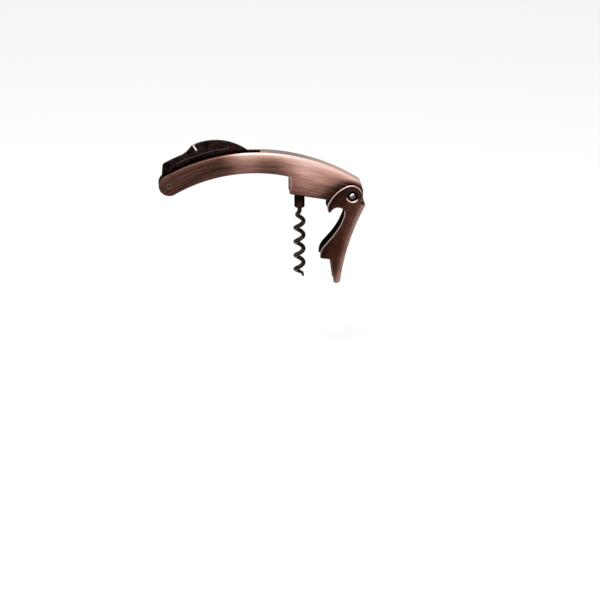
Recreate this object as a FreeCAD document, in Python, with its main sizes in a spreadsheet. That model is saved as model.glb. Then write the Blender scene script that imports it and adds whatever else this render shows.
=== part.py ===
import FreeCAD, Part
import math
import os
import re
import Sketcher

# A waiter's corkscrew, held by its curved grip and ready to lift a cork.
#
# Frame: the origin is the middle of the hand grip, inside the handle. +X runs
# from the rounded tail towards the lever, +Y runs across the handle, and +Z is
# up, so the worm points down. "Near" pieces are on the -Y side and "far" pieces
# on the +Y side. Lengths are millimetres.
#
# The handle is one casting. Its grip is a bow whose top edge, arch, channel
# roof and slot floor are arcs about one centre, the bow centre. The lever, its
# rivet, the worm and the knife are each drawn about their own pivot and placed
# there.

SIZES = {
    # Handle casting.
    "handle_width": "10.0",
    "channel_width": "7.6",
    "crown_x": "15.3",
    "crown_z": "8.3",
    "tail_radius": "100.0",
    "nose_radius": "109.0",
    "grip_depth": "12.4",
    "tail_x": "-31.0",
    "cheek_x": "35.25",
    "cheek_drop": "4.4",
    "belly_slope": "9.8",
    "nose_reach": "6.15",
    "nose_top_reach": "4.4",
    "nose_bend_drop": "2.6",
    "rim_round": "2.2",
    "nose_top_round": "2.2",
    "nose_bend_round": "3.0",
    "nose_belly_round": "4.0",
    "cheek_round": "1.5",
    "arch_round": "1.6",
    # Hollows of the casting.
    "slot_depth": "4.7",
    "web_thickness": "1.2",
    "slot_front_x": "19.5",
    "tail_clear": "6.0",
    "channel_ahead": "3.3",
    # Pivots, and the clearances of what turns on them.
    "worm_x": "41.4",
    "worm_z": "-12.0",
    "lever_x": "70.6",
    "lever_z": "-17.5",
    "worm_pin_diameter": "3.0",
    "knife_pin_diameter": "3.0",
    "rivet_diameter": "3.0",
    "running_gap": "0.05",
    "side_gap": "0.2",
    "pin_chamfer": "0.2",
    # Lever, about its pivot.
    "plate_thickness": "1.3",
    "web_radius": "2.0",
    "plate_bevel": "0.4",
    "head_radius": "6.4",
    "head_x": "-0.8",
    "head_z": "-0.1",
    "head_front_angle": "-20.0",
    "head_back_angle": "115.0",
    "hook_top_radius": "20.0",
    "hook_back_x": "-13.7",
    "hook_back_z": "-4.5",
    "hook_back_radius": "4.6",
    "hook_toe_x": "-13.5",
    "hook_toe_z": "-8.7",
    "hook_tip_width": "1.5",
    "hook_tip_radius": "0.85",
    "notch_radius": "4.3",
    "throat_x": "-4.5",
    "throat_z": "-8.4",
    "arm_top_x": "-4.6",
    "arm_top_z": "-11.2",
    "arm_upper_radius": "38.0",
    "arm_mid_x": "-12.0",
    "arm_mid_z": "-24.0",
    "arm_low_x": "-15.9",
    "arm_low_z": "-28.4",
    "arm_low_radius": "9.2",
    "foot_x": "-18.1",
    "foot_shoulder_z": "-33.8",
    "foot_z": "-35.5",
    "foot_fall": "0.8",
    "foot_round": "1.1",
    "prong_x": "-12.3",
    "prong_round": "0.8",
    "prong_toe_x": "-10.5",
    "prong_heel_x": "-6.65",
    "prong_z": "-49.4",
    "prong_tip_radius": "2.6",
    "back_radius": "132.0",
    "lobe_x": "7.45",
    "lobe_z": "-5.4",
    "web_top_drop": "5.0",
    "relief_x": "5.5",
    "relief_z": "-3.95",
    "relief_diameter": "1.2",
    # Lever rivet and its washers.
    "dish_diameter": "6.9",
    "dish_floor_diameter": "5.9",
    "dish_depth": "0.7",
    "dish_bevel": "0.4",
    "rivet_head_diameter": "3.5",
    "rivet_head_height": "0.95",
    "rivet_washer_thickness": "0.35",
    "rivet_washer_gap": "0.1",
    # Worm and its shank.
    "shank_diameter": "5.8",
    "shank_length": "12.7",
    "shank_flat": "5.0",
    "shank_flat_length": "6.8",
    "shank_chamfer": "0.5",
    "worm_washer_diameter": "5.4",
    "worm_diameter": "7.0",
    "wire_diameter": "2.5",
    "worm_length": "53.0",
    "worm_pitch": "8.0",
    "stem_depth": "6.0",
    "point_length": "5.5",
    "point_diameter": "0.5",
    # Foil knife, about its pivot.
    "blade_thickness": "1.6",
    "blade_gap": "0.5",
    "tang_radius": "4.4",
    "blade_root_x": "5.4",
    "butt_x": "-3.6",
    "butt_round": "2.5",
    "blade_rise": "5.6",
    "spine_end_x": "7.0",
    "hump_x": "12.5",
    "hump_rise": "8.7",
    "hump_hollow_radius": "14.0",
    "blade_back_radius": "30.5",
    "blade_tip_x": "48.5",
    "edge_bevel": "0.55",
    "nick_x": "14.4",
    "nick_rise": "7.0",
    "nick_length": "3.7",
    "nick_width": "0.9",
    "nick_depth": "0.4",
    "nick_angle": "-58.0",
    "fuller_back_x": "4.0",
    "fuller_front_x": "33.0",
    "fuller_rise": "3.1",
    "fuller_width": "1.1",
    "fuller_depth": "0.3",
    "knife_spacer_diameter": "7.0",
    # Leaf spring behind the knife's tang, and the rivet that holds it.
    "spring_thickness": "0.6",
    "spring_width": "5.0",
    "spring_end": "5.3",
    "spring_front_x": "-14.6",
    "spring_rivet_x": "-18.4",
    "spring_rivet_diameter": "1.8",
    "spring_rivet_head": "3.0",
    "spring_rivet_head_height": "0.5",
}

# Lengths worked out from the sizes above.
LAYOUT = {
    "bow_z": "crown_z - tail_radius",
    "nose_z": "crown_z - nose_radius",
    "arch_radius": "tail_radius - grip_depth",
    "floor_radius": "tail_radius - slot_depth",
    "roof_radius": "floor_radius - web_thickness",
    "tail_mid_radius": "tail_radius - grip_depth / 2",
    "tail_z": "bow_z + sqrt(tail_mid_radius^2 - (tail_x - crown_x)^2)",
    "tail_out_x": "(tail_x - crown_x) / tail_mid_radius",
    "tail_out_z": "(tail_z - bow_z) / tail_mid_radius",
    "tail_round": "grip_depth / 2",
    "cheek_top_z": "bow_z + sqrt(arch_radius^2 - (cheek_x - crown_x)^2)",
    "cheek_z": "worm_z - cheek_drop",
    "nose_x": "lever_x + nose_reach",
    "nose_top_x": "lever_x + nose_top_reach",
    "nose_top_z": "nose_z + sqrt(nose_radius^2 - (nose_top_x - crown_x)^2)",
    "nose_bend_z": "lever_z + nose_bend_drop",
    "nose_belly_z": "cheek_z - (nose_x - cheek_x) * tan(belly_slope)",
    "spring_rivet_tilt": "asin((spring_rivet_x - crown_x) / roof_radius)",
    "spring_rivet_z": "bow_z + sqrt(roof_radius^2 - (spring_rivet_x - crown_x)^2)",
    "lever_inner_width": "handle_width + 2 * side_gap",
    "lever_width": "lever_inner_width + 2 * plate_thickness",
}

# Points that shape one turn of the worm's coil.
STEPS_PER_TURN = 12

# Two places no further apart than this are the same place.
SAME_PLACE = 1e-3

# Faces meet smoothly where the cosine between their normals is at least this.
SMOOTH_JOIN = 0.99


def cells(sheet, values):
    """Write each value to its own cell, with its name as the cell's alias."""
    for row, (alias, text) in enumerate(values.items(), start=1):
        sheet.set("A%d" % row, alias)
        sheet.set("B%d" % row, text)
        sheet.setAlias("B%d" % row, alias)


def bound(text):
    """Point each name in a formula at the sheet cell that holds it."""

    def cell(match):
        name = match.group(0)
        if name in SIZES:
            return "Sizes." + name
        if name in LAYOUT:
            return "Layout." + name
        return name

    return re.sub(r"[a-z]\w*", cell, str(text))


doc = FreeCAD.newDocument("WaitersCorkscrew")
sizes = doc.addObject("Spreadsheet::Sheet", "Sizes")
cells(sizes, SIZES)
doc.recompute()
layout = doc.addObject("Spreadsheet::Sheet", "Layout")
cells(layout, {alias: "=" + bound(text) for alias, text in LAYOUT.items()})
doc.recompute()


def value(text):
    """The number that a formula gives with the sheets as they stand."""
    result = layout.evalExpression(bound(text))
    return float(getattr(result, "Value", result))


# ---------------------------------------------------------------- sketching

def plane(body, role):
    return [item for item in body.Origin.OriginFeatures if item.Role == role][0]


def new_body(label, x="0", z="0", y="0"):
    """A sub-part whose own origin sits at the given point of the frame."""
    body = doc.addObject("PartDesign::Body", label)
    body.Label = label
    body.setExpression("Placement.Base.x", bound(x))
    body.setExpression("Placement.Base.y", bound(y))
    body.setExpression("Placement.Base.z", bound(z))
    return body


def new_sketch(body, name, role="XZ_Plane"):
    sketch = body.newObject("Sketcher::SketchObject", name)
    sketch.AttachmentSupport = [(plane(body, role), "")]
    sketch.MapMode = "FlatFace"
    return sketch


def pin_point(sketch, edge, end, across, up):
    """Tie one end of an edge to a place measured from the sketch's origin."""
    for kind, text in (("DistanceX", across), ("DistanceY", up)):
        index = sketch.addConstraint(
            Sketcher.Constraint(kind, -1, 1, edge, end, value(text)))
        sketch.setExpression("Constraints[%d]" % index, bound(text))


def arc_between(start, finish, radius, turn):
    """The minor arc from start to finish; turn is +1 to the left, -1 right."""
    chord = finish - start
    reach = math.sqrt(max(radius ** 2 - (chord.Length / 2) ** 2, 0.0))
    left = FreeCAD.Vector(-chord.y, chord.x, 0).normalize()
    centre = (start + finish) / 2 + left * (reach * turn)
    ends = (start, finish) if turn > 0 else (finish, start)
    angles = [math.atan2(point.y - centre.y, point.x - centre.x) for point in ends]
    if angles[1] < angles[0]:
        angles[1] += 2 * math.pi
    circle = Part.Circle(centre, FreeCAD.Vector(0, 0, 1), radius)
    return Part.ArcOfCircle(circle, angles[0], angles[1])


def outline(sketch, corners):
    """Draw a closed outline.

    Each corner is (across, up) or (across, up, radius, turn). The last two say
    that the edge to the next corner is an arc, to the left for +1.
    """
    points = [FreeCAD.Vector(value(item[0]), value(item[1]), 0) for item in corners]
    edges = []
    for item, start, finish in zip(corners, points, points[1:] + points[:1]):
        if len(item) == 2:
            edge = sketch.addGeometry(Part.LineSegment(start, finish), False)
            edges.append((edge, 1, 2))
            continue
        radius, turn = item[2:]
        arc = arc_between(start, finish, value(radius), turn)
        edge = sketch.addGeometry(arc, False)
        index = sketch.addConstraint(Sketcher.Constraint("Radius", edge, value(radius)))
        sketch.setExpression("Constraints[%d]" % index, bound(radius))
        edges.append((edge, 1, 2) if turn > 0 else (edge, 2, 1))
    for here, after in zip(edges, edges[1:] + edges[:1]):
        sketch.addConstraint(
            Sketcher.Constraint("Coincident", here[0], here[2], after[0], after[1]))
    for item, edge in zip(corners, edges):
        pin_point(sketch, edge[0], edge[1], item[0], item[1])


def circle(sketch, across, up, diameter):
    centre = FreeCAD.Vector(value(across), value(up), 0)
    ring = Part.Circle(centre, FreeCAD.Vector(0, 0, 1), value(diameter) / 2)
    edge = sketch.addGeometry(ring, False)
    index = sketch.addConstraint(
        Sketcher.Constraint("Diameter", edge, value(diameter)))
    sketch.setExpression("Constraints[%d]" % index, bound(diameter))
    pin_point(sketch, edge, 3, across, up)


# ----------------------------------------------------------------- features

def pad(body, name, sketch, length):
    """A block as wide as length, half on each side of the sketch."""
    feature = body.newObject("PartDesign::Pad", name)
    feature.Profile = sketch
    feature.SideType = "Symmetric"
    feature.setExpression("Length", bound(length))
    doc.recompute()
    return feature


def pocket(body, name, sketch, length):
    """A cut as wide as length, half on each side of the sketch."""
    before = body.Shape.Volume
    feature = body.newObject("PartDesign::Pocket", name)
    feature.Profile = sketch
    feature.SideType = "Symmetric"
    feature.setExpression("Length", bound(length))
    doc.recompute()
    if not body.Shape.Volume < before:
        raise RuntimeError(name + " removes nothing")
    return feature


def turned(body, name, sketch, axis, kind="PartDesign::Revolution"):
    """A full turn of the sketch about one of its own axes."""
    feature = body.newObject(kind, name)
    feature.Profile = sketch
    feature.ReferenceAxis = (sketch, [axis])
    feature.Angle = 360
    doc.recompute()
    return feature


def groove(body, name, sketch, axis):
    """A full turn of the sketch cut from the body."""
    before = body.Shape.Volume
    feature = turned(body, name, sketch, axis, "PartDesign::Groove")
    if not body.Shape.Volume < before:
        raise RuntimeError(name + " removes nothing")
    return feature


def dress(body, name, base, edges, length, kind="PartDesign::Fillet"):
    """Round or chamfer the named edges of the body's last feature."""
    if not edges:
        raise RuntimeError(name + " finds no edge")
    feature = body.newObject(kind, name)
    feature.Base = (base, edges)
    field = "Radius" if kind == "PartDesign::Fillet" else "Size"
    feature.setExpression(field, bound(length))
    doc.recompute()
    return feature


def edges_where(feature, test):
    found = enumerate(feature.Shape.Edges, start=1)
    return ["Edge%d" % index for index, edge in found if test(edge)]


def cross_edges(feature, places):
    """Edges that run across the body, in Y, at the given (x, z) places."""
    targets = [(value(across), value(up)) for across, up in places]

    def here(edge):
        first, last = edge.Vertexes[0].Point, edge.Vertexes[-1].Point
        if math.hypot(first.x - last.x, first.z - last.z) > SAME_PLACE:
            return False
        return any(math.hypot(first.x - x, first.z - z) < SAME_PLACE for x, z in targets)

    return edges_where(feature, here)


def rim_edges(feature, width, test=None):
    """Edges that lie in the body's two side faces."""
    half = value(width) / 2

    def here(edge):
        ends = [vertex.Point for vertex in edge.Vertexes]
        flat = all(abs(abs(point.y) - half) < SAME_PLACE for point in ends)
        same = all(abs(point.y - ends[0].y) < SAME_PLACE for point in ends)
        return flat and same and (test is None or test(edge))

    return edges_where(feature, here)


def sharp_rims(feature, width):
    """Rim edges whose two faces don't run smoothly into each other."""

    def sharp(edge):
        middle = edge.valueAt((edge.FirstParameter + edge.LastParameter) / 2)
        sides = [face for face in feature.Shape.Faces
                 if any(edge.isSame(other) for other in face.Edges)]
        first, second = [face.normalAt(*face.Surface.parameter(middle)) for face in sides]
        return abs(first.dot(second)) < SMOOTH_JOIN

    return rim_edges(feature, width, sharp)


def of_radius(radius):
    """A test for edges that are arcs of the given radius."""
    wanted = value(radius)

    def here(edge):
        return abs(getattr(edge.Curve, "Radius", 0.0) - wanted) < SAME_PLACE

    return here


def on_bow(across, radius):
    """The height, at a place along X, of an arc about the bow centre."""
    return "bow_z + sqrt((%s)^2 - (%s - crown_x)^2)" % (radius, across)


def slotted(sketch, across, up, length, width, angle):
    """A straight groove with square ends, centred at a point and tilted."""
    corners = []
    for along, aside in ((-1, -1), (1, -1), (1, 1), (-1, 1)):
        run = "%d * %s / 2" % (along, length)
        rise = "%d * %s / 2" % (aside, width)
        corners.append((
            "%s + %s * cos(%s) - %s * sin(%s)" % (across, run, angle, rise, angle),
            "%s + %s * sin(%s) + %s * cos(%s)" % (up, run, angle, rise, angle),
        ))
    outline(sketch, corners)


# ------------------------------------------------------------------- handle

def make_handle():
    """The casting: bowed grip, deep cheek, and a nose inside the lever."""
    body = new_body("handle")
    shape = new_sketch(body, "HandleOutline")
    top = ("tail_x + tail_out_x * tail_round", "tail_z + tail_out_z * tail_round")
    end = ("tail_x - tail_out_z * tail_round", "tail_z + tail_out_x * tail_round")
    low = ("tail_x - tail_out_x * tail_round", "tail_z - tail_out_z * tail_round")
    nose_top = ("nose_top_x", "nose_top_z")
    nose_bend = ("nose_x", "nose_bend_z")
    nose_belly = ("nose_x", "nose_belly_z")
    cheek = ("cheek_x", "cheek_z")
    cheek_top = ("cheek_x", "cheek_top_z")
    outline(shape, [
        ("crown_x", "crown_z", "nose_radius", -1),
        nose_top,
        nose_bend,
        nose_belly,
        cheek,
        cheek_top + ("arch_radius", 1),
        low + ("tail_round", -1),
        end + ("tail_round", -1),
        top + ("tail_radius", -1),
    ])
    last = pad(body, "HandleBlock", shape, "handle_width")
    rounds = (
        ("NoseTop", nose_top, "nose_top_round"),
        ("NoseBend", nose_bend, "nose_bend_round"),
        ("NoseBelly", nose_belly, "nose_belly_round"),
        ("Cheek", cheek, "cheek_round"),
        ("Arch", cheek_top, "arch_round"),
    )
    for name, corner, radius in rounds:
        last = dress(body, name, last, cross_edges(last, [corner]), radius)
    last = dress(body, "Rims", last, rim_edges(last, "handle_width"), "rim_round")

    # The worm lies in a channel that is open below, under an arched roof.
    channel = new_sketch(body, "WormChannel")
    front = "worm_x + channel_ahead"
    back = "tail_x - grip_depth"
    below = "nose_belly_z - grip_depth"
    outline(channel, [
        (front, below),
        (front, on_bow(front, "roof_radius"), "roof_radius", 1),
        (back, on_bow(back, "roof_radius")),
        (back, below),
    ])
    pocket(body, "WormRoom", channel, "channel_width")

    # The knife lies in a slot that is open above, over the same roof.
    slot = new_sketch(body, "KnifeSlot")
    above = "crown_z + grip_depth"
    outline(slot, [
        ("slot_front_x", above),
        (back, above),
        (back, on_bow(back, "floor_radius"), "floor_radius", -1),
        ("slot_front_x", on_bow("slot_front_x", "floor_radius")),
    ])
    pocket(body, "KnifeRoom", slot, "channel_width")

    # Behind the roof both hollows meet, so that the tang can turn.
    tail = new_sketch(body, "TailRoom")
    outline(tail, [
        ("tail_x + tail_clear", below),
        ("tail_x + tail_clear", above),
        (back, above),
        (back, below),
    ])
    pocket(body, "TangRoom", tail, "channel_width")

    bores = new_sketch(body, "PivotBores")
    circle(bores, "worm_x", "worm_z", "worm_pin_diameter")
    circle(bores, "tail_x", "tail_z", "knife_pin_diameter")
    circle(bores, "lever_x", "lever_z", "rivet_diameter + 2 * running_gap")
    pocket(body, "Pivots", bores, "2 * handle_width")
    rivet_hole(body, "RoofHole")
    return body


def rivet_hole(body, name):
    """The spring rivet's hole, square to the bowed roof."""
    hole = new_sketch(body, name, "XY_Plane")
    hole.AttachmentOffset = FreeCAD.Placement(
        FreeCAD.Vector(), FreeCAD.Rotation(FreeCAD.Vector(0, 1, 0), 1))
    hole.setExpression("AttachmentOffset.Base.x", bound("spring_rivet_x"))
    hole.setExpression("AttachmentOffset.Base.z", bound("spring_rivet_z"))
    hole.setExpression("AttachmentOffset.Rotation.Angle", bound("spring_rivet_tilt"))
    circle(hole, "0", "0", "spring_rivet_diameter")
    pocket(body, name + "Cut", hole, "2 * (web_thickness + spring_thickness)")


def make_back_spring():
    """A leaf under the roof, whose free end stands behind the knife's tang."""
    body = new_body("back_spring")
    shape = new_sketch(body, "SpringOutline")
    under = "roof_radius - spring_thickness"
    back = "tail_x + spring_end"
    front = "spring_front_x"
    outline(shape, [
        (front, on_bow(front, under)),
        (front, on_bow(front, "roof_radius"), "roof_radius", 1),
        (back, on_bow(back, "roof_radius")),
        (back, on_bow(back, under), under, -1),
    ])
    pad(body, "SpringLeaf", shape, "spring_width")
    rivet_hole(body, "SpringHole")
    return body


def make_spring_rivet():
    """Flush with the slot's floor above, headed under the spring."""
    body = new_body("spring_rivet", "spring_rivet_x", "spring_rivet_z")
    body.Placement = FreeCAD.Placement(
        FreeCAD.Vector(), FreeCAD.Rotation(FreeCAD.Vector(0, 1, 0), 1))
    body.setExpression("Placement.Rotation.Angle", bound("spring_rivet_tilt"))
    shape = new_sketch(body, "SpringRivetProfile")
    seat = "-spring_thickness - running_gap"
    outline(shape, [
        ("0", "web_thickness - running_gap"),
        ("spring_rivet_diameter / 2", "web_thickness - running_gap"),
        ("spring_rivet_diameter / 2", seat),
        ("spring_rivet_head / 2", seat),
        ("spring_rivet_diameter / 2", seat + " - spring_rivet_head_height"),
        ("0", seat + " - spring_rivet_head_height"),
    ])
    turned(body, "SpringRivetTurned", shape, "V_Axis")
    return body


def make_pin(label, x, z, diameter):
    """A straight pin pressed through both walls, flush outside."""
    body = new_body(label, x, z)
    name = label.title().replace("_", "")
    shape = new_sketch(body, name + "Round")
    circle(shape, "0", "0", diameter)
    rod = pad(body, name + "Rod", shape, "handle_width")
    ends = rim_edges(rod, "handle_width")
    dress(body, name + "Ends", rod, ends, "pin_chamfer", "PartDesign::Chamfer")
    return body


def make_ring(label, x, z, y, inner, outer, thickness):
    """A flat ring about the Y axis, centred at y."""
    body = new_body(label, x, z, y)
    name = label.title().replace("_", "")
    shape = new_sketch(body, name + "Round")
    circle(shape, "0", "0", outer)
    circle(shape, "0", "0", inner)
    pad(body, name + "Ring", shape, thickness)
    return body


# -------------------------------------------------------------------- lever

def make_lever():
    """One stamping: two hooked side plates joined along the back by a web."""
    body = new_body("lever", "lever_x", "lever_z")
    shape = new_sketch(body, "LeverOutline")

    def on_head(angle):
        return (
            "head_x + head_radius * cos(%s)" % angle,
            "head_z + head_radius * sin(%s)" % angle,
        )

    toe = ("hook_toe_x", "hook_toe_z")
    tip = ("hook_toe_x + hook_tip_width", "hook_toe_z")
    foot = ("foot_x", "foot_z")
    step = ("prong_x", "foot_z - foot_fall")
    prong_toe = ("prong_toe_x", "prong_z")
    prong_heel = ("prong_heel_x", "prong_z")
    outline(shape, [
        on_head("head_front_angle") + ("head_radius", 1),
        ("head_x", "head_z + head_radius", "head_radius", 1),
        on_head("head_back_angle") + ("hook_top_radius", 1),
        ("hook_back_x", "hook_back_z", "hook_back_radius", 1),
        toe + ("hook_tip_radius", 1),
        tip + ("notch_radius", -1),
        ("throat_x", "throat_z"),
        ("arm_top_x", "arm_top_z", "arm_upper_radius", -1),
        ("arm_mid_x", "arm_mid_z"),
        ("arm_low_x", "arm_low_z", "arm_low_radius", 1),
        ("foot_x", "foot_shoulder_z"),
        foot,
        step,
        prong_toe + ("prong_tip_radius", 1),
        prong_heel + ("back_radius", -1),
        ("lobe_x", "lobe_z"),
    ])
    last = pad(body, "LeverBlock", shape, "lever_width")
    bends = rim_edges(last, "lever_width", of_radius("back_radius"))
    last = dress(body, "Bends", last, bends, "web_radius")
    rounds = (
        ("FootRound", foot, "foot_round"),
        ("StepRound", step, "prong_round"),
    )
    for name, corner, radius in rounds:
        last = dress(body, name, last, cross_edges(last, [corner]), radius)

    rims = sharp_rims(last, "lever_width")
    dress(body, "PlateBevel", last, rims, "plate_bevel", "PartDesign::Chamfer")

    # The inside of the channel is open to the front and above the web.
    inside = new_sketch(body, "LeverInside")
    outline(inside, [
        ("lobe_x - plate_thickness", "head_z - web_top_drop"),
        ("lobe_x + head_radius", "head_z - web_top_drop"),
        ("lobe_x + head_radius", "2 * head_radius"),
        ("2 * foot_x", "2 * head_radius"),
        ("2 * foot_x", "2 * prong_z"),
        ("prong_toe_x", "2 * prong_z"),
        ("prong_heel_x - plate_thickness", "prong_z", "back_radius", -1),
    ])
    pocket(body, "LeverRoom", inside, "lever_inner_width")

    bores = new_sketch(body, "LeverBores")
    circle(bores, "0", "0", "rivet_diameter + 2 * running_gap")
    circle(bores, "relief_x", "relief_z", "relief_diameter")
    pocket(body, "LeverHoles", bores, "2 * lever_width")

    # A dish round each end of the bore takes a washer and the rivet's head.
    for side, sign in (("Near", "-"), ("Far", "")):
        dish = new_sketch(body, side + "Dish", "XY_Plane")
        face = sign + "lever_width / 2"
        bevel = sign + "(lever_width / 2 - dish_bevel)"
        floor = sign + "(lever_width / 2 - dish_depth)"
        outline(dish, [
            ("0", floor),
            ("dish_floor_diameter / 2", floor),
            ("dish_floor_diameter / 2", bevel),
            ("dish_diameter / 2", face),
            ("0", face),
        ])
        groove(body, side + "DishCut", dish, "V_Axis")
    return body


def make_lever_rivet():
    """The lever's pivot: a headed pin, domed at both ends."""
    body = new_body("lever_rivet", "lever_x", "lever_z")
    shape = new_sketch(body, "RivetProfile", "XY_Plane")
    seat = "(lever_width / 2 - dish_depth + running_gap + rivet_washer_thickness)"
    dome = "((rivet_head_diameter / 2)^2 + rivet_head_height^2) / (2 * rivet_head_height)"
    outline(shape, [
        ("0", "-" + seat + " - rivet_head_height", dome, 1),
        ("rivet_head_diameter / 2", "-" + seat),
        ("rivet_diameter / 2", "-" + seat),
        ("rivet_diameter / 2", seat),
        ("rivet_head_diameter / 2", seat, dome, 1),
        ("0", seat + " + rivet_head_height"),
    ])
    turned(body, "RivetTurned", shape, "V_Axis")
    return body


# --------------------------------------------------------------------- worm

def make_worm_shank():
    """The collar that hangs on the worm pin and grips the wire's stem."""
    body = new_body("worm_shank", "worm_x", "worm_z")
    shape = new_sketch(body, "ShankProfile")
    outline(shape, [
        ("0", "shank_diameter / 2", "shank_diameter / 2", -1),
        ("shank_diameter / 2", "0"),
        ("shank_diameter / 2", "shank_chamfer - shank_length"),
        ("shank_diameter / 2 - shank_chamfer", "-shank_length"),
        ("wire_diameter / 2", "-shank_length"),
        ("wire_diameter / 2", "stem_depth - shank_length"),
        ("0", "stem_depth - shank_length"),
    ])
    turned(body, "ShankTurned", shape, "V_Axis")
    for side, sign in (("Near", -1), ("Far", 1)):
        flat = new_sketch(body, side + "Flat", "XY_Plane")
        inner = "%d * shank_flat / 2" % sign
        outer = "%d * shank_diameter" % sign
        outline(flat, [
            ("-shank_diameter", inner),
            ("shank_diameter", inner),
            ("shank_diameter", outer),
            ("-shank_diameter", outer),
        ])
        pocket(body, side + "FlatCut", flat, "shank_flat_length")
    bore = new_sketch(body, "ShankBore")
    circle(bore, "0", "0", "worm_pin_diameter + 2 * running_gap")
    pocket(body, "ShankEye", bore, "2 * shank_diameter")
    return body


def worm_centre(turn):
    """A point on the wire's centre line, in turns from the stem's end.

    The wire leaves the stem on the axis, swings out to the coil's radius in
    its first turn, and winds down as a right-hand screw.
    """
    radius = (value("worm_diameter") - value("wire_diameter")) / 2
    blend = min(turn, 1.0)
    reach = radius * blend * blend * (3 - 2 * blend)
    angle = 2 * math.pi * turn
    drop = value("shank_length") + value("worm_pitch") * turn
    return FreeCAD.Vector(reach * math.cos(angle), -reach * math.sin(angle), -drop)


def make_worm():
    """The screw: a straight stem, an open coil and a sharp point."""
    body = doc.addObject("Part::Feature", "worm")
    body.Label = "worm"
    wire = value("wire_diameter") / 2
    turns = (value("worm_length") - value("shank_length")) / value("worm_pitch")
    winding = math.hypot(
        math.pi * (value("worm_diameter") - value("wire_diameter")), value("worm_pitch"))
    point_turn = turns - value("point_length") / winding
    count = round(turns * STEPS_PER_TURN)
    points = [worm_centre(turns * step / count) for step in range(count + 1)]
    down = FreeCAD.Vector(0, 0, -1)
    last = (points[-1] - points[-2]).normalize()
    centre = Part.BSplineCurve()
    centre.interpolate(Points=points, InitialTangent=down, FinalTangent=last)
    start, end = centre.FirstParameter, centre.LastParameter
    taper = centre.parameter(worm_centre(point_turn))

    def ring(parameter, radius):
        normal = centre.tangent(parameter)[0]
        return Part.Wire([Part.makeCircle(radius, centre.value(parameter), normal)])

    stem_top = FreeCAD.Vector(0, 0, value("stem_depth - shank_length"))
    top_ring = Part.Wire([Part.makeCircle(wire, stem_top, down)])
    stem = Part.makeLine(stem_top, centre.value(start))
    coil = Part.Wire([stem, centre.toShape(start, taper)]).makePipeShell(
        [top_ring], False, True)
    tip_ring = ring(end, value("point_diameter") / 2)
    point = Part.Wire([centre.toShape(taper, end)]).makePipeShell(
        [ring(taper, wire), tip_ring], False, True)
    skin = Part.makeShell(
        coil.Faces + point.Faces + [Part.Face(top_ring), Part.Face(tip_ring)])
    skin.sewShape()
    body.Shape = Part.makeSolid(skin)
    body.Placement = FreeCAD.Placement(
        FreeCAD.Vector(value("worm_x"), 0, value("worm_z")), FreeCAD.Rotation())
    return body


# -------------------------------------------------------------------- knife

def make_knife():
    """The foil knife, folded: its edge follows the floor of its slot."""
    body = new_body("knife_blade", "tail_x", "tail_z")
    shape = new_sketch(body, "BladeOutline")

    def above_tail(across, radius):
        return on_bow("(%s + tail_x)" % across, radius) + " - tail_z"

    edge = "floor_radius + blade_gap"
    spine = "tail_radius + blade_rise"
    butt = ("butt_x", above_tail("butt_x", spine))
    outline(shape, [
        ("tang_radius", "0"),
        ("blade_root_x", above_tail("blade_root_x", edge), edge, -1),
        ("blade_tip_x", above_tail("blade_tip_x", edge), "blade_back_radius", 1),
        ("hump_x", above_tail("hump_x", "tail_radius + hump_rise"), "hump_hollow_radius", -1),
        ("spine_end_x", above_tail("spine_end_x", spine), spine, 1),
        butt,
        ("-tang_radius", "0", "tang_radius", 1),
        ("0", "-tang_radius", "tang_radius", 1),
    ])
    last = pad(body, "BladePlate", shape, "blade_thickness")
    last = dress(body, "ButtRound", last, cross_edges(last, [butt]), "butt_round")
    bevels = rim_edges(last, "blade_thickness", of_radius(edge))
    dress(body, "EdgeBevel", last, bevels, "edge_bevel", "PartDesign::Chamfer")
    bore = new_sketch(body, "BladeBore")
    circle(bore, "0", "0", "knife_pin_diameter + 2 * running_gap")
    pocket(body, "BladeEye", bore, "2 * blade_thickness")

    # Both sides carry a long fuller below the spine; the near one a nail nick.
    for side, sign in (("Near", 1), ("Far", -1)):
        fuller = new_sketch(body, side + "Fuller")
        fuller.setExpression(
            "AttachmentOffset.Base.z", bound("%d * blade_thickness / 2" % sign))
        inner = "tail_radius + fuller_rise - fuller_width / 2"
        outer = "tail_radius + fuller_rise + fuller_width / 2"
        outline(fuller, [
            ("fuller_front_x", above_tail("fuller_front_x", inner)),
            ("fuller_front_x", above_tail("fuller_front_x", outer), outer, 1),
            ("fuller_back_x", above_tail("fuller_back_x", outer)),
            ("fuller_back_x", above_tail("fuller_back_x", inner), inner, -1),
        ])
        pocket(body, side + "FullerCut", fuller, "2 * fuller_depth")
    nick = new_sketch(body, "NailNick")
    nick.setExpression("AttachmentOffset.Base.z", bound("blade_thickness / 2"))
    nick_up = above_tail("nick_x", "tail_radius + nick_rise")
    slotted(nick, "nick_x", nick_up, "nick_length", "nick_width", "nick_angle")
    pocket(body, "NailNickCut", nick, "2 * nick_depth")
    return body


# ----------------------------------------------------------------- assembly

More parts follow.
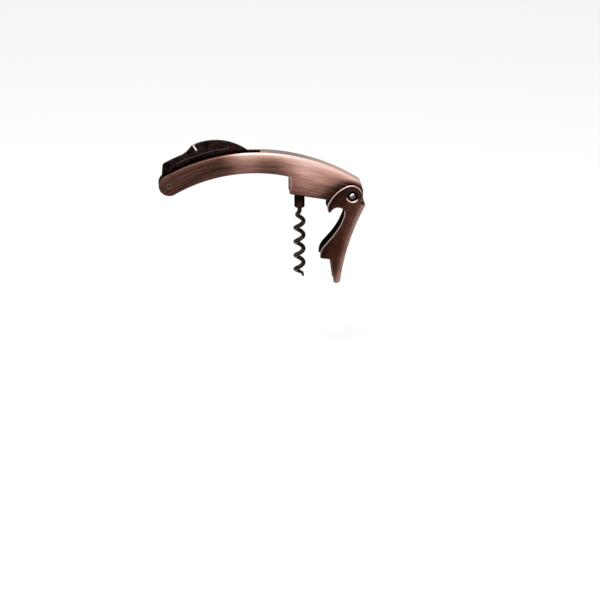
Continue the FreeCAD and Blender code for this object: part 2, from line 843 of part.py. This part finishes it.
parts = [
    make_handle(),
    make_pin("worm_pin", "worm_x", "worm_z", "worm_pin_diameter"),
    make_pin("knife_pin", "tail_x", "tail_z", "knife_pin_diameter"),
    make_lever(),
    make_lever_rivet(),
    make_worm_shank(),
    make_worm(),
    make_knife(),
    make_back_spring(),
    make_spring_rivet(),
]
for side, sign in (("near", -1), ("far", 1)):
    washer_seat = "lever_width / 2 - dish_depth + running_gap + rivet_washer_thickness / 2"
    parts.append(make_ring(
        "rivet_washer_" + side, "lever_x", "lever_z", "%d * (%s)" % (sign, washer_seat),
        "rivet_diameter", "dish_floor_diameter - 2 * rivet_washer_gap",
        "rivet_washer_thickness"))
    parts.append(make_ring(
        "worm_washer_" + side, "worm_x", "worm_z",
        "%d * (channel_width + shank_flat) / 4" % sign,
        "worm_pin_diameter", "worm_washer_diameter",
        "(channel_width - shank_flat) / 2 - 2 * running_gap"))
    parts.append(make_ring(
        "knife_spacer_" + side, "tail_x", "tail_z",
        "%d * (channel_width + blade_thickness) / 4" % sign,
        "knife_pin_diameter", "knife_spacer_diameter",
        "(channel_width - blade_thickness) / 2 - 2 * running_gap"))

doc.recompute()
for item in doc.Objects:
    if "Invalid" in item.State or "Error" in item.State:
        raise RuntimeError("%s did not compute: %s" % (item.Label, item.State))
for part in parts:
    if part.Shape.isNull() or not part.Shape.isValid():
        raise RuntimeError(part.Label + " is not a valid shape")
    if len(part.Shape.Solids) != 1:
        raise RuntimeError(part.Label + " is not one solid")

os.makedirs("parts", exist_ok=True)
for part in parts:
    part.Shape.exportStep("parts/%s.step" % part.Label)
    box = part.Shape.BoundBox
    print("%-18s %9.2f mm3  x %.2f..%.2f  y %.2f..%.2f  z %.2f..%.2f" % (
        part.Label, part.Shape.Volume, box.XMin, box.XMax,
        box.YMin, box.YMax, box.ZMin, box.ZMax))
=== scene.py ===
import math

import bpy
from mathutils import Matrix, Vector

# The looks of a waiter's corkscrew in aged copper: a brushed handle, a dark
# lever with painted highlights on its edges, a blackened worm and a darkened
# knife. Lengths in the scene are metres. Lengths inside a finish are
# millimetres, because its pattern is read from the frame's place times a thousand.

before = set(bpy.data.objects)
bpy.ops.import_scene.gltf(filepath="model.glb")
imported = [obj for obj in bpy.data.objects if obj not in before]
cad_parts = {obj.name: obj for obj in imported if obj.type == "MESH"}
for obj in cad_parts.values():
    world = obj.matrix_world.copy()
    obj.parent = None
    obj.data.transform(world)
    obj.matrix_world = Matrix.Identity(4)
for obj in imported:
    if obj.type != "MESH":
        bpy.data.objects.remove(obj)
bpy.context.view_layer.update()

MM = 0.001

# Places on the part, in millimetres, as the solids have them. A pair is (x, z).
CROWN_X = 15.3
BOW_Z = -91.7
BOW_RADIUS = 100.0
NOSE_Z = -100.7
NOSE_RADIUS = 109.0
NOSE_X = 76.75
CHEEK_X = 35.25
HOLLOW_INSIDE = 3.85
WORM_PIVOT = (41.4, -12.0)
SHANK_END_Z = -24.7
LEVER_PIVOT = (70.6, -17.5)
LEVER_INSIDE = 5.25
HOOK_CENTRE = (75.2, -30.1)
HOOK_RADIUS = 20.0
HEAD_CENTRE = (69.8, -17.6)
HEAD_RADIUS = 6.4
BACK_CENTRE = (194.8, -84.6)
BACK_RADIUS = 132.0
BEND_DEPTH = 2.0
DISH_FLOOR = 2.95
DISH_RIM = 3.45
RELIEF_PLACES = ((76.4, -20.8), (76.25, -21.4))
NICK_PLACE = (-16.6, 10.4)
BLADE_FACE = 0.75

# Where along the handle each change of its tone starts and ends.
GRIP_TO_CHEEK = (25.0, 45.0)
GRIP_LIGHTER = (24.0, 14.0)
# Where the tail's painted shade sets in.
TAIL_SHADED = (12.0, -5.0)
# Where painted shade darkens the nose, and where the painted highlight under its top edge
# narrows.
NOSE_DARKER = (43.0, 65.0)
NOSE_EDGE_THINNER = (58.0, 70.0)
HOOK_TO_HEAD = (66.0, 71.0)
# Where the painted shade round the lever widens.
LEVER_SHADE_WIDER = (72.0, 54.0)

# How much those changes add to the tone, or how much of it they leave.
GRIP_GAIN = 0.17
NOSE_LOSS = -0.25
NOSE_EDGE_LOSS = -0.14
# The painted highlight along the cheek's corner.
CORNER_HIGHLIGHT_GAIN = 0.2
# How much of the tone the tail's painted shade leaves.
TAIL_SHADE_SHARE = 0.27
# How much of the tone the painted shade round the lever leaves.
LEVER_SHADE_SHARE = 0.14

# How wide the painted shade round the lever is over the nose and over the cheek,
# and how far below the bow's centre the flatter brush lines are centred.
LEVER_SHADE_REACH = (3.4, 8.2)
BRUSH_DROP = 73.3

# Which ways a surface faces where it counts as the top, or as the underside,
# and the side from which the painted highlights fall on the lever and on its rivet.
TOP_FACING = (0.80, 0.97)
UNDER_FACING = (-0.1, -0.8)
LEVER_LIT_SIDE = (-0.60, 0.0, 0.80)
RIVET_LIT_SIDE = (-0.50, 0.0, 0.87)

# How far the edges look rounded.
HANDLE_ROUNDING = 0.3
LEVER_ROUNDING = 0.2
SMALL_ROUNDING = 0.25

# Brushing: how much a pattern changes per millimetre along and across its
# lines, and how much it adds to the tone.
HANDLE_BRUSHING = {
    "broad": (0.045, 0.9, 0.42),
    "lines": (0.09, 2.4, 0.30),
    "hairs": (0.2, 6.0, 0.16),
    "cloud": (0.09, 0.25, 0.20),
}
LEVER_BRUSHING = {
    "broad": (0.05, 0.55, 0.28),
    "lines": (0.11, 1.8, 0.14),
}
PATCHES_WEIGHT = 0.25


def linear(red, green, blue):
    """A colour written as 0 to 255 on the screen, as the shader wants it."""
    def channel(value):
        value /= 255
        return value / 12.92 if value <= 0.04045 else ((value + 0.055) / 1.055) ** 2.4
    return (channel(red), channel(green), channel(blue), 1.0)


# Tones run from 0, the darkest patina or painted shade, to 1, bare rubbed metal or painted
# highlight.
COPPER_TONES = [
    (0.00, linear(34, 19, 16)),
    (0.12, linear(62, 40, 34)),
    (0.25, linear(93, 64, 56)),
    (0.55, linear(157, 116, 103)),
    (0.85, linear(218, 174, 161)),
    (1.00, linear(246, 213, 202)),
]
BROWN_TONES = [
    (0.00, linear(19, 9, 7)),
    (0.29, linear(59, 35, 27)),
    (0.57, linear(100, 67, 57)),
    (0.93, linear(150, 122, 112)),
]

# Tones by the depth below the handle's top edge, in millimetres: the bright band under
# the edge and the darkening towards the belly are partly patina, partly painted
# highlight and painted shade.
GRIP_TONES = [(0.0, 0.90), (1.2, 0.95), (3.0, 0.60), (4.8, 0.39), (7.5, 0.22),
              (12.4, 0.25)]
CHEEK_TONES = [(0.0, 0.92), (1.2, 0.97), (5.0, 0.79), (9.5, 0.69), (11.0, 0.58),
               (15.0, 0.50), (19.0, 0.31)]

# Tones by the distance from the lever's back, and what is added to them by the
# distance below its pivot.
LEVER_TONES = [(0.0, 0.95), (2.0, 0.66), (3.2, 0.38), (5.5, 0.24), (9.0, 0.22),
               (12.0, 0.10), (18.0, 0.02)]
ARM_TONES = [(0.0, 0.06), (8.0, 0.12), (17.0, 0.085), (25.0, -0.10), (35.0, -0.12),
             (42.0, 0.03), (49.4, 0.26)]

# The broad top: worn over the grip, then dull, then pale, and dark at the nose; the dull and
# pale stretches are partly a painted reflection.
TOP_TONES = [
    (0.10, linear(178, 146, 143)),
    (0.32, linear(149, 136, 132)),
    (0.72, linear(198, 186, 182)),
    (1.00, linear(128, 112, 108)),
]

# Painted shade on what faces down and on the cheek's end.
UNDERSIDE_SHADE = linear(76, 58, 52)
CHEEK_END_SHADE = linear(118, 94, 86)
# Painted shade in the hollows.
HOLLOW_SHADE = linear(30, 21, 18)
HANDLE_EDGE = linear(214, 176, 164)
DULL_GLANCE = linear(211, 200, 195)
REDDISH = linear(72, 34, 26)
# Painted shade inside the fold.
FOLD_SHADE = linear(20, 12, 10)
# Painted shade and painted highlight in the dish round the rivet.
DISH_SHADE = linear(42, 44, 40)
DISH_HIGHLIGHT = linear(240, 212, 203)
DISH_FLOOR_SHADE = linear(16, 10, 8)
# Painted highlight on the lever's edges.
LEVER_EDGE_HIGHLIGHT = linear(230, 196, 189)
# Painted shade in the lever's relief.
RELIEF_SHADE = linear(12, 7, 6)
WORN_EDGE = linear(206, 190, 184)
SHANK_BROWN = linear(52, 34, 27)
SHANK_GLANCE = linear(90, 80, 76)
# Painted highlight on the rivet.
RIVET_HIGHLIGHT = linear(246, 236, 232)
KNIFE_GLANCE = linear(120, 110, 108)
# Painted glint in the knife's nail nick.
NICK_GLINT = linear(232, 226, 224)


# ----------------------------------------------------------------- finishes

class Finish:
    """A node material, built up step by step round one Principled shader."""

    def __init__(self, name):
        self.material = bpy.data.materials.new(name)
        self.material.use_nodes = True
        self.tree = self.material.node_tree
        self.tree.nodes.clear()
        self.shader = self.node("ShaderNodeBsdfPrincipled")
        output = self.node("ShaderNodeOutputMaterial")
        self.tree.links.new(self.shader.outputs["BSDF"], output.inputs["Surface"])
        self.shader.inputs["Metallic"].default_value = 1.0
        coords = self.node("ShaderNodeTexCoord")
        self.place = self.vector("SCALE", coords.outputs["Object"], scale=1 / MM)
        self.facing = coords.outputs["Normal"]
        self.x, self.y, self.z = self.split(self.place)
        self.facing_x, self.facing_y, self.facing_z = self.split(self.facing)

    def node(self, kind):
        return self.tree.nodes.new(kind)

    def feed(self, socket, value):
        """Link a socket's source, or set its own value."""
        if isinstance(value, bpy.types.NodeSocket):
            self.tree.links.new(value, socket)
        else:
            socket.default_value = value

    def math(self, operation, *values):
        node = self.node("ShaderNodeMath")
        node.operation = operation
        for socket, value in zip(node.inputs, values):
            self.feed(socket, value)
        return node.outputs[0]

    def total(self, *terms):
        """The sum of (number, weight) terms."""
        result = 0.0
        for value, weight in terms:
            result = self.math("MULTIPLY_ADD", value, weight, result)
        return result

    def product(self, first, *others):
        for value in others:
            first = self.math("MULTIPLY", first, value)
        return first

    def between(self, share, low, high):
        """From low to high, as share goes from 0 to 1."""
        return self.math("MULTIPLY_ADD", share, self.math("SUBTRACT", high, low), low)

    def vector(self, operation, *values, scale=None):
        node = self.node("ShaderNodeVectorMath")
        node.operation = operation
        for socket, value in zip(node.inputs, values):
            self.feed(socket, value)
        if scale is not None:
            self.feed(node.inputs["Scale"], scale)
        wanted = "Value" if operation in ("DISTANCE", "DOT_PRODUCT") else "Vector"
        return node.outputs[wanted]

    def split(self, vector):
        node = self.node("ShaderNodeSeparateXYZ")
        self.feed(node.inputs[0], vector)
        return node.outputs[0], node.outputs[1], node.outputs[2]

    def off_axis(self, centre):
        """How far the place is, seen from the side, from an (x, z) point."""
        flat = self.node("ShaderNodeCombineXYZ")
        self.feed(flat.inputs["X"], self.x)
        self.feed(flat.inputs["Z"], self.z)
        return self.vector("DISTANCE", flat.outputs[0], (centre[0], 0.0, centre[1]))

    def noise(self, vector, scale, detail=3.0, roughness=0.5):
        node = self.node("ShaderNodeTexNoise")
        self.feed(node.inputs["Vector"], vector)
        node.inputs["Scale"].default_value = scale
        node.inputs["Detail"].default_value = detail
        node.inputs["Roughness"].default_value = roughness
        return node.outputs["Fac"]

    def streaks(self, along, across, slow, fast):
        """Noise drawn out in one direction, about zero."""
        stretched = self.node("ShaderNodeCombineXYZ")
        self.feed(stretched.inputs["X"], self.math("MULTIPLY", along, slow))
        self.feed(stretched.inputs["Y"], self.math("MULTIPLY", across, fast))
        self.feed(stretched.inputs["Z"], self.math("MULTIPLY", self.y, 0.3))
        return self.math("SUBTRACT", self.noise(stretched.outputs[0], 1.0, 4.0, 0.6), 0.5)

    def brushing(self, along, across, table):
        """The patterns of a brushing table, and what they add to the tone."""
        patterns = {name: self.streaks(along, across, slow, fast)
                    for name, (slow, fast, _) in table.items()}
        terms = [(patterns[name], weight) for name, (_, _, weight) in table.items()]
        return patterns, self.total(*terms)

    def span(self, value, low, high, start=0.0, end=1.0):
        """Runs smoothly from start to end while value goes from low to high."""
        node = self.node("ShaderNodeMapRange")
        node.interpolation_type = "SMOOTHSTEP"
        for socket, item in zip(node.inputs, (value, low, high, start, end)):
            self.feed(socket, item)
        return node.outputs[0]

    def ramp(self, value, stops):
        node = self.node("ShaderNodeValToRGB")
        self.feed(node.inputs[0], value)
        elements = node.color_ramp.elements
        while len(elements) < len(stops):
            elements.new(1.0)
        for element, (position, colour) in zip(elements, stops):
            element.position = position
            element.color = colour
        return node.outputs[0]

    def curve(self, value, stops):
        """A number that follows (value, number) stops in straight lines."""
        first, last = stops[0][0], stops[-1][0]
        share = self.math("DIVIDE", self.math("SUBTRACT", value, first), last - first)
        greys = [((at - first) / (last - first), (tone, tone, tone, 1.0)) for at, tone in stops]
        return self.ramp(share, greys)

    def mix(self, share, first, second):
        node = self.node("ShaderNodeMix")
        node.data_type = "RGBA"
        factor, first_in, second_in = node.inputs[0], node.inputs[6], node.inputs[7]
        self.feed(factor, share)
        self.feed(first_in, first)
        self.feed(second_in, second)
        return node.outputs[2]

    def shade(self, colour, value):
        """The colour made lighter or darker by a number that varies."""
        return self.vector("SCALE", colour, scale=value)

    def bump(self, height, depth, strength, normal):
        """Relief, its depth in millimetres."""
        node = self.node("ShaderNodeBump")
        node.inputs["Strength"].default_value = strength
        node.inputs["Distance"].default_value = depth * MM
        self.feed(node.inputs["Height"], height)
        self.feed(node.inputs["Normal"], normal)
        return node.outputs[0]

    def rounded(self, radius):
        """The surface's direction with its edges rounded, and where they are."""
        node = self.node("ShaderNodeBevel")
        node.samples = 8
        node.inputs["Radius"].default_value = radius * MM
        geometry = self.node("ShaderNodeNewGeometry")
        same = self.vector("DOT_PRODUCT", node.outputs[0], geometry.outputs["Normal"])
        return node.outputs[0], self.span(same, 0.995, 0.93)

    def finish(self, colour, roughness, normal):
        self.feed(self.shader.inputs["Base Color"], colour)
        self.feed(self.shader.inputs["Roughness"], roughness)
        self.feed(self.shader.inputs["Normal"], normal)
        return self.material


def handle_tone(made, depth):
    """The handle's tone before brushing: light under the top edge and dark below, partly
    painted highlight and painted shade, and painted shade round the lever.
    """
    # The bow darkens faster below its top than the deep cheek does.
    tone = made.between(made.span(made.x, *GRIP_TO_CHEEK),
                        made.curve(depth, GRIP_TONES), made.curve(depth, CHEEK_TONES))
    lighter = made.product(made.span(made.x, *GRIP_LIGHTER), made.span(depth, 1.5, 4.5))
    # Towards the nose painted shade lowers the tone, and the painted highlight under the top
    # edge narrows.
    darker = made.product(made.span(made.x, *NOSE_DARKER), made.span(depth, 1.0, 4.5))
    thinner = made.product(made.span(made.x, *NOSE_EDGE_THINNER), made.span(depth, 0.6, 2.0))

    # A painted highlight runs along the cheek's corner, down its height.
    corner_highlight = made.product(
        made.span(made.facing_x, -0.1, -0.45), made.span(made.facing_x, -0.95, -0.7),
        made.span(made.z, -16.0, -11.0), made.span(made.x, CHEEK_X - 6.0, CHEEK_X - 1.0))
    tone = made.total((tone, 1.0), (lighter, GRIP_GAIN), (darker, NOSE_LOSS),
                      (thinner, NOSE_EDGE_LOSS), (corner_highlight, CORNER_HIGHLIGHT_GAIN))

    # Painted shade lies round the outline of the lever's head and hook.
    from_hook = made.math("SUBTRACT", made.off_axis(HOOK_CENTRE), HOOK_RADIUS)
    from_head = made.math("SUBTRACT", made.off_axis(HEAD_CENTRE), HEAD_RADIUS)
    from_lever = made.between(made.span(made.x, *HOOK_TO_HEAD), from_hook, from_head)
    reach = made.span(made.x, *LEVER_SHADE_WIDER, *LEVER_SHADE_REACH)
    unshaded = made.span(made.math("DIVIDE", from_lever, reach), 0.1, 1.0, LEVER_SHADE_SHARE, 1.0)

    # The tail is darker with painted shade.
    return made.product(tone, unshaded, made.span(made.x, *TAIL_SHADED, 1.0, TAIL_SHADE_SHARE))


def handle_finish():
    """Brushed copper, light along the top and dark towards the belly: partly patina, partly
    painted highlight and painted shade.
    """
    made = Finish("handle_copper")
    bow = made.off_axis((CROWN_X, BOW_Z))
    nose = made.off_axis((CROWN_X, NOSE_Z))
    ahead = made.math("GREATER_THAN", made.x, CROWN_X)
    depth = made.between(ahead, made.math("SUBTRACT", BOW_RADIUS, bow),
                         made.math("SUBTRACT", NOSE_RADIUS, nose))

    # The brush lines follow the bow, and run more flatly towards the nose.
    flatter = made.off_axis((CROWN_X, BOW_Z - BRUSH_DROP))
    across = made.between(ahead, bow, made.math("SUBTRACT", flatter, BRUSH_DROP))
    past_crown = made.math("SUBTRACT", made.x, CROWN_X)
    angle = made.math("ARCTAN2", past_crown, made.math("SUBTRACT", made.z, BOW_Z))
    along = made.math("MULTIPLY", BOW_RADIUS, angle)
    brushed, wander = made.brushing(along, across, HANDLE_BRUSHING)
    spread = made.span(depth, 0.6, 4.0, 0.1, 1.0)
    tone = made.math("MULTIPLY_ADD", wander, spread, handle_tone(made, depth))
    colour = made.ramp(tone, COPPER_TONES)

    # The broad top is duller, its colour partly a painted reflection, and what faces down or
    # back is darker with painted shade.
    made.shader.inputs["Specular Tint"].default_value = DULL_GLANCE
    top = made.ramp(made.math("DIVIDE", past_crown, NOSE_X - CROWN_X), TOP_TONES)
    top = made.shade(top, made.span(brushed["broad"], -0.25, 0.25, 0.86, 1.1))
    colour = made.mix(made.span(made.facing_z, *TOP_FACING), colour, top)
    under_shade = made.span(made.facing_z, *UNDER_FACING, 0.0, 0.7)
    colour = made.mix(under_shade, colour, UNDERSIDE_SHADE)
    behind_shade = made.product(made.span(made.facing_x, -0.3, -0.9),
                          made.span(depth, 5.0, 11.0, 0.0, 0.5))
    colour = made.mix(behind_shade, colour, CHEEK_END_SHADE)

    # The hollows are nearly black with painted shade.
    hollow = made.math("LESS_THAN", made.math("ABSOLUTE", made.y), HOLLOW_INSIDE)
    colour = made.mix(made.product(hollow, made.span(depth, 0.3, 1.5)), colour, HOLLOW_SHADE)

    rim, edge = made.rounded(HANDLE_ROUNDING)
    colour = made.mix(made.math("MULTIPLY", edge, 0.35), colour, HANDLE_EDGE)
    roughness = made.span(brushed["broad"], -0.2, 0.2, 0.27, 0.40)
    relief = made.total((brushed["lines"], 1.0), (brushed["hairs"], 0.4))
    return made.finish(colour, roughness, made.bump(relief, 0.03, 0.5, rim))


def dish_colour(made, colour, fall, from_rivet):
    """The dish round the rivet: painted shade on the bevel above, a painted highlight on the
    one below, and painted shade on its floor.
    """
    bevel = made.product(made.span(from_rivet, DISH_FLOOR - 0.05, DISH_FLOOR + 0.1),
                         made.span(from_rivet, DISH_RIM + 0.25, DISH_RIM + 0.05))
    ahead = made.math("SUBTRACT", made.x, LEVER_PIVOT[0])
    below = made.span(made.math("MULTIPLY_ADD", ahead, -0.15, fall), 0.9, 2.1)
    colour = made.mix(bevel, colour, made.mix(below, DISH_SHADE, DISH_HIGHLIGHT))
    return made.mix(made.span(from_rivet, DISH_FLOOR, DISH_FLOOR - 0.1), colour, DISH_FLOOR_SHADE)


def lever_edge_highlight(made, edge, back, fall, from_rivet):
    """Where the painted highlight lies on the bevels and edges that face up or forward."""
    outside = made.span(made.math("ABSOLUTE", made.y), LEVER_INSIDE + 0.4, LEVER_INSIDE + 0.7)
    slope = made.math("ABSOLUTE", made.facing_y)
    bevelled = made.product(made.span(slope, 0.92, 0.85), made.span(slope, 0.45, 0.55),
                            made.span(back, BEND_DEPTH, BEND_DEPTH + 0.3))
    lit_side = made.vector("DOT_PRODUCT", made.facing, LEVER_LIT_SIDE)
    return made.product(
        made.math("MAXIMUM", made.product(edge, outside), bevelled),
        made.span(lit_side, -0.5, 0.15, 0.05, 0.95), made.span(made.facing_z, -0.45, -0.1),
        made.span(from_rivet, 3.6, 4.4),
        made.span(fall, 2.0, 10.0, 1.0, 0.5), made.span(fall, 33.0, 37.0, 1.0, 0.25))


def lever_finish():
    """Dark copper plating, brushed along the arm, light along its bends with wear and painted
    highlight, and with painted highlights on its edges.
    """
    made = Finish("lever_copper")
    back = made.math("SUBTRACT", made.off_axis(BACK_CENTRE), BACK_RADIUS)
    fall = made.math("SUBTRACT", LEVER_PIVOT[1], made.z)
    from_rivet = made.off_axis(LEVER_PIVOT)

    # From the bend at the back, light with wear and with painted highlight, the plate darkens
    # towards its front.
    tone = made.math("ADD", made.curve(back, LEVER_TONES), made.curve(fall, ARM_TONES))
    brushed, wander = made.brushing(fall, back, LEVER_BRUSHING)
    patches = made.math("SUBTRACT", made.noise(made.place, 0.16, 2.0, 0.5), 0.5)
    wandered = made.total((tone, 1.0), (wander, 1.0), (patches, PATCHES_WEIGHT))
    colour = made.ramp(wandered, BROWN_TONES)
    blush = made.noise(made.place, 0.33, 2.0, 0.5)
    red = made.product(made.span(blush, 0.45, 0.7, 0.0, 0.3), made.span(tone, 0.75, 0.4))
    colour = made.mix(red, colour, REDDISH)

    # Inside the fold it is nearly black with painted shade.
    inside = made.math("LESS_THAN", made.math("ABSOLUTE", made.y), LEVER_INSIDE)
    inner = made.product(inside, made.span(made.facing_x, 0.4, 0.1))
    colour = made.mix(inner, colour, FOLD_SHADE)
    colour = dish_colour(made, colour, fall, from_rivet)

    rim, edge = made.rounded(LEVER_ROUNDING)
    painted_highlight = lever_edge_highlight(made, edge, back, fall, from_rivet)
    # The edges that face the light get a painted highlight.
    colour = made.mix(painted_highlight, colour, LEVER_EDGE_HIGHLIGHT)

    # The small relief at the top of the back is nearly black with painted shade.
    spots = made.math("MINIMUM", *[made.off_axis(place) for place in RELIEF_PLACES])
    colour = made.mix(made.span(spots, 1.15, 0.8), colour, RELIEF_SHADE)

    roughness = made.span(brushed["broad"], -0.2, 0.2, 0.32, 0.46)
    return made.finish(colour, roughness, made.bump(brushed["lines"], 0.02, 0.4, rim))


def worn_tones(made, dark, light, grain, edge_light):
    """The patches, the rounded edges and the worn colour of a small piece."""
    patches = made.noise(made.place, grain, 4.0, 0.6)
    colour = made.mix(made.span(patches, 0.35, 0.65), linear(*dark), linear(*light))
    rim, edge = made.rounded(SMALL_ROUNDING)
    colour = made.mix(made.math("MULTIPLY", edge, edge_light), colour, WORN_EDGE)
    return patches, rim, colour


def worn_metal(made, patches, rim, colour, smooth, rough, depth=0.02, strength=0.4):
    """Finish a small piece, its roughness and relief going with its patches."""
    roughness = made.span(patches, 0.3, 0.7, smooth, rough)
    return made.finish(colour, roughness, made.bump(patches, depth, strength, rim))


def worn_finish(name, dark, light, roughness, grain=0.8, edge_light=0.5):
    """Small metal pieces."""
    made = Finish(name)
    patches, rim, colour = worn_tones(made, dark, light, grain, edge_light)
    return worn_metal(made, patches, rim, colour, roughness - 0.06, roughness + 0.08)


def shank_finish():
    """Blackened, browner towards its lower end; the black higher up is partly painted shade
    under the handle.
    """
    made = Finish("shank_black")
    patches, rim, colour = worn_tones(made, (9, 4, 2), (22, 15, 12),
                                      grain=0.5, edge_light=0.1)
    low = made.span(made.z, SHANK_END_Z + 6.0, SHANK_END_Z + 1.0, 0.0, 0.8)
    colour = made.mix(low, colour, SHANK_BROWN)
    made.shader.inputs["Specular Tint"].default_value = SHANK_GLANCE
    return worn_metal(made, patches, rim, colour, 0.32, 0.46)


def rivet_finish():
    """Bare metal, with a painted highlight on the side that faces up and towards the tail."""
    made = Finish("rivet_steel")
    patches, rim, colour = worn_tones(made, (90, 72, 72), (104, 88, 86),
                                      grain=0.7, edge_light=0.1)
    # The side that faces the light gets a painted highlight.
    painted_highlight = made.span(made.vector("DOT_PRODUCT", made.facing, RIVET_LIT_SIDE), 0.15, 0.6)
    colour = made.mix(painted_highlight, colour, RIVET_HIGHLIGHT)
    return worn_metal(made, patches, rim, colour, 0.26, 0.34, depth=0.002, strength=0.2)


def knife_finish():
    """Darkened steel, with a painted glint in its nail nick."""
    made = Finish("knife_steel")
    patches, rim, colour = worn_tones(made, (15, 8, 6), (42, 28, 26),
                                      grain=0.25, edge_light=0.15)
    made.shader.inputs["Specular Tint"].default_value = KNIFE_GLANCE
    in_face = made.math("LESS_THAN", made.math("ABSOLUTE", made.y), BLADE_FACE)
    nick = made.product(in_face, made.span(made.off_axis(NICK_PLACE), 2.6, 2.3))
    colour = made.mix(nick, colour, NICK_GLINT)
    return worn_metal(made, patches, rim, colour, 0.24, 0.36)


def dress():
    """Give every node its finish."""
    copper = handle_finish()
    steel = worn_finish("spring_steel", (66, 62, 60), (104, 99, 96), roughness=0.36)
    washer = worn_finish("washer_black", (8, 5, 4), (20, 13, 11),
                         roughness=0.4, edge_light=0.05)
    finishes = {
        "handle": copper,
        "worm_pin": copper,
        "knife_pin": copper,
        "lever": lever_finish(),
        "lever_rivet": rivet_finish(),
        "rivet_washer_near": washer,
        "rivet_washer_far": washer,
        "worm_shank": shank_finish(),
        "worm": worn_finish("worm_black", (30, 23, 20), (66, 50, 44),
                            roughness=0.3, grain=0.5, edge_light=0.1),
        "knife_blade": knife_finish(),
    }
    for name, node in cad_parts.items():
        node.data.materials.clear()
        node.data.materials.append(finishes.get(name, steel))


# ------------------------------------------------------------ studio, camera

PHOTO_SIZE = 600
PIXELS_PER_METRE = 1800.0
RIVET_HEAD_Y = -7.15
RIVET_PIXEL = (352.25, 196.65)
VIEW_AZIMUTH = -5.0
VIEW_ELEVATION = 15.5
CAMERA_DISTANCE = 1.6
SENSOR = 36.0
FLOOR_Z = -0.11
FLOOR_SIZE = 12.0
FLOOR_GREY = 0.93
FLOOR_GLOW = 0.15
WORLD_LIGHT = 0.75
WHITE = (1.0, 1.0, 1.0, 1.0)


def outward(azimuth, elevation):
    """The direction from the part to a viewer, 0 azimuth being in front."""
    turn, lift = math.radians(azimuth), math.radians(elevation)
    return Vector((math.sin(turn) * math.cos(lift), -math.cos(turn) * math.cos(lift),
                   math.sin(lift)))


def place_camera():
    """Stands where the photographer stood, with the rivet's head on its pixel."""
    data = bpy.data.cameras.new("camera")
    data.sensor_width = SENSOR
    data.lens = PIXELS_PER_METRE * CAMERA_DISTANCE * SENSOR / PHOTO_SIZE
    camera = bpy.data.objects.new("camera", data)
    bpy.context.scene.collection.objects.link(camera)
    rivet = Vector((LEVER_PIVOT[0], RIVET_HEAD_Y, LEVER_PIVOT[1])) * MM
    back = outward(VIEW_AZIMUTH, VIEW_ELEVATION)
    camera.location = rivet + back * CAMERA_DISTANCE
    right = Vector((0, 0, 1)).cross(back).normalized()
    up = back.cross(right)
    aside = (PHOTO_SIZE / 2 - RIVET_PIXEL[0]) / PIXELS_PER_METRE
    below = (PHOTO_SIZE / 2 - RIVET_PIXEL[1]) / PIXELS_PER_METRE
    aim = rivet + right * aside - up * below
    camera.rotation_mode = "QUATERNION"
    camera.rotation_quaternion = (aim - camera.location).to_track_quat("-Z", "Y")
    bpy.context.scene.camera = camera


def area_light(name, azimuth, elevation, distance, size, power):
    """A square soft box that looks at the part."""
    data = bpy.data.lights.new(name, "AREA")
    data.shape = "SQUARE"
    data.size = size
    data.energy = power
    lamp = bpy.data.objects.new(name, data)
    bpy.context.scene.collection.objects.link(lamp)
    direction = outward(azimuth, elevation)
    lamp.location = Vector((WORM_PIVOT[0], 0.0, WORM_PIVOT[1])) * MM + direction * distance
    lamp.rotation_mode = "QUATERNION"
    lamp.rotation_quaternion = (-direction).to_track_quat("-Z", "Y")


def seen_directly(tree):
    """1 where the eye, a reflection or clear glass looks, and 0 for other light."""
    path = tree.nodes.new("ShaderNodeLightPath")
    first = tree.nodes.new("ShaderNodeMath")
    first.operation = "MAXIMUM"
    tree.links.new(path.outputs["Is Camera Ray"], first.inputs[0])
    tree.links.new(path.outputs["Is Glossy Ray"], first.inputs[1])
    second = tree.nodes.new("ShaderNodeMath")
    second.operation = "MAXIMUM"
    tree.links.new(first.outputs[0], second.inputs[0])
    tree.links.new(path.outputs["Is Transmission Ray"], second.inputs[1])
    return second.outputs[0]


def make_world():
    """White to look at, and a softer light on what stands in it."""
    world = bpy.data.worlds.new("studio")
    bpy.context.scene.world = world
    world.use_nodes = True
    tree = world.node_tree
    background = tree.nodes["Background"]
    background.inputs["Color"].default_value = WHITE
    strength = tree.nodes.new("ShaderNodeMapRange")
    strength.inputs["To Min"].default_value = WORLD_LIGHT
    strength.inputs["To Max"].default_value = 1.0
    tree.links.new(seen_directly(tree), strength.inputs["Value"])
    tree.links.new(strength.outputs[0], background.inputs["Strength"])


def make_floor():
    """A pale floor well below the part, so that its shadow is soft."""
    bpy.ops.mesh.primitive_plane_add(size=FLOOR_SIZE, location=(0, 0, FLOOR_Z))
    floor = bpy.context.object
    floor.name = "floor"
    material = bpy.data.materials.new("floor")
    material.use_nodes = True
    tree = material.node_tree
    shader = tree.nodes["Principled BSDF"]
    shader.inputs["Base Color"].default_value = (FLOOR_GREY, FLOOR_GREY, FLOOR_GREY, 1.0)
    shader.inputs["Roughness"].default_value = 0.9
    shader.inputs["Specular IOR Level"].default_value = 0.0
    shader.inputs["Emission Color"].default_value = WHITE
    glow = tree.nodes.new("ShaderNodeMath")
    glow.operation = "MULTIPLY"
    glow.inputs[1].default_value = FLOOR_GLOW
    tree.links.new(seen_directly(tree), glow.inputs[0])
    tree.links.new(glow.outputs[0], shader.inputs["Emission Strength"])
    floor.data.materials.append(material)


def light_studio():
    area_light("key", azimuth=-30.0, elevation=58.0, distance=1.0, size=0.6, power=2.6)
    area_light("top", azimuth=30.0, elevation=78.0, distance=1.0, size=0.5, power=1.4)


dress()
make_world()
make_floor()
light_studio()
place_camera()
bpy.context.scene.view_settings.view_transform = "Standard"
